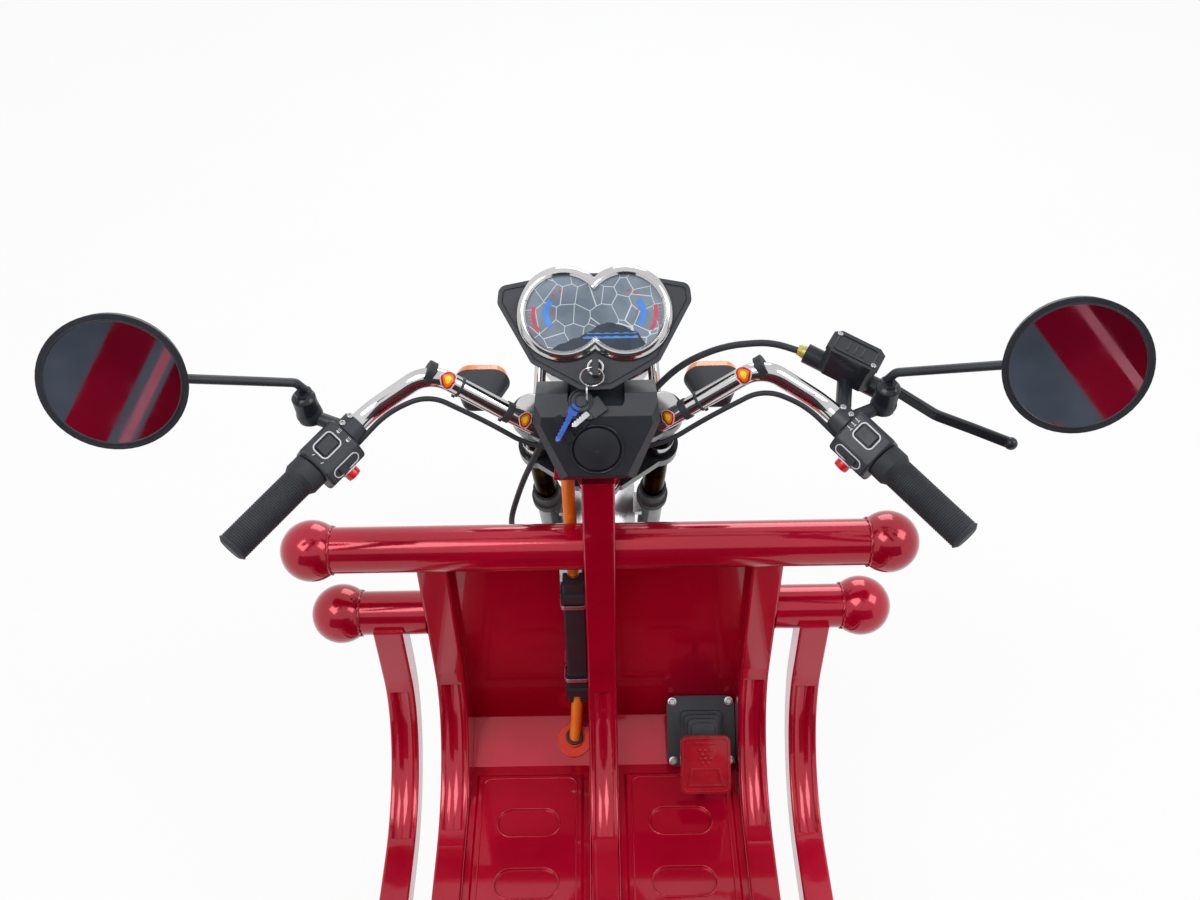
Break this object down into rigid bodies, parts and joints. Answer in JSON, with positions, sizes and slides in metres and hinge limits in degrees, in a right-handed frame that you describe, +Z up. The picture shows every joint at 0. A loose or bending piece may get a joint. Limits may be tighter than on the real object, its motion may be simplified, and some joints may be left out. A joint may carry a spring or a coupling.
{
  "type": "electric cargo tricycle",
  "caption": "Three-wheeled electric cargo tricycle with a raked front fork, twin guard bars, flat footwell, seat over its battery box and a steel load bed with a dropping tailgate.",
  "frame": {"origin": "on the ground under the middle of the whole vehicle", "axes": "+Z up, +Y the way it travels, +X the rider's right"},
  "size_m": [1.071, 3.2458, 1.1965],
  "materials": {
    "red_paint": "gloss",
    "black_plastic": "matte",
    "rubber": "matte",
    "tyre": "matte",
    "chrome": "polished",
    "dark_chrome": "polished",
    "steel": "satin",
    "black_steel": "satin",
    "cast_alloy": "satin",
    "orange_plastic": "satin",
    "amber": "gloss",
    "red_lens": "gloss",
    "red_rubber": "matte",
    "clear": "clear",
    "mirror": "polished",
    "seat_cover": "satin",
    "bed_steel": "satin"
  },
  "bodies": {
    "chassis": {"battery_box": "red_paint", "bed_floor": "bed_steel", "bed_frame": "bed_steel", "bed_front_board": "bed_steel", "bed_sides": "bed_steel", "brake_pedal": "red_rubber", "centre_column": "red_paint", "chassis_frame": "red_paint", "conduit_sleeve": "black_plastic", "drive_motor": "cast_alloy", "floor_grommet": "orange_plastic", "floor_panels": "red_paint", "inner_rails": "red_paint", "leaf_springs": "black_steel", "leg_shield": "red_paint", "lower_guard_bar": "red_paint", "outer_rails": "red_paint", "pedal_boot": "black_plastic", "rear_axle": "black_steel", "rear_mudguards": "red_paint", "seat_back": "seat_cover", "seat_cushion": "seat_cover", "seat_frame": "red_paint", "tail_lenses": "red_lens", "upper_guard_bar": "red_paint", "wiring_conduit": "orange_plastic"},
    "steering": {"fork_yokes": "black_steel", "fork_stanchions": "dark_chrome", "fork_sliders": "cast_alloy", "fork_boots": "rubber", "fork_caps": "chrome", "front_mudguard": "steel", "brake_caliper": "cast_alloy", "bar_clamp": "black_steel", "handlebar": "chrome", "grips": "rubber", "switch_pods": "black_plastic", "brake_master": "black_steel", "brake_lever": "black_steel", "brake_hose": "rubber", "control_cables": "rubber", "mirror_housings": "black_plastic", "mirror_panes": "mirror", "dial_bezel": "chrome", "dial_lens": "clear", "dial_case": "black_plastic", "bar_cover": "black_plastic", "ignition_key": "black_plastic", "headlamp_shell": "chrome", "headlamp_lens": "clear", "indicators": "black_plastic", "indicator_lenses": "amber"},
    "front_wheel": {"front_rim": "cast_alloy", "front_tyre": "tyre"},
    "rear_wheel_left": {"rear_rim_left": "cast_alloy", "rear_tyre_left": "tyre"},
    "rear_wheel_right": {"rear_rim_right": "cast_alloy", "rear_tyre_right": "tyre"},
    "tailgate": {"tailgate": "bed_steel"}
  },
  "joints": [
    {"name": "steer", "type": "hinge", "parent": "chassis", "child": "steering", "pos_m": [0, 0.97963, 0.78243], "axis": [0, -0.5, 0.866], "range_deg": [-38, 38]},
    {"name": "front_wheel_spin", "type": "hinge", "parent": "steering", "child": "front_wheel", "pos_m": [0, 1.3361, 0.255], "axis": [1, 0, 0], "continuous": true},
    {"name": "rear_left_spin", "type": "hinge", "parent": "chassis", "child": "rear_wheel_left", "pos_m": [-0.43, -0.9639, 0.255], "axis": [1, 0, 0], "continuous": true},
    {"name": "rear_right_spin", "type": "hinge", "parent": "chassis", "child": "rear_wheel_right", "pos_m": [0.43, -0.9639, 0.255], "axis": [1, 0, 0], "continuous": true},
    {"name": "tailgate_hinge", "type": "hinge", "parent": "chassis", "child": "tailgate", "pos_m": [0, -1.6239, 0.589], "axis": [1, 0, 0], "range_deg": [0, 170]}
  ]
}
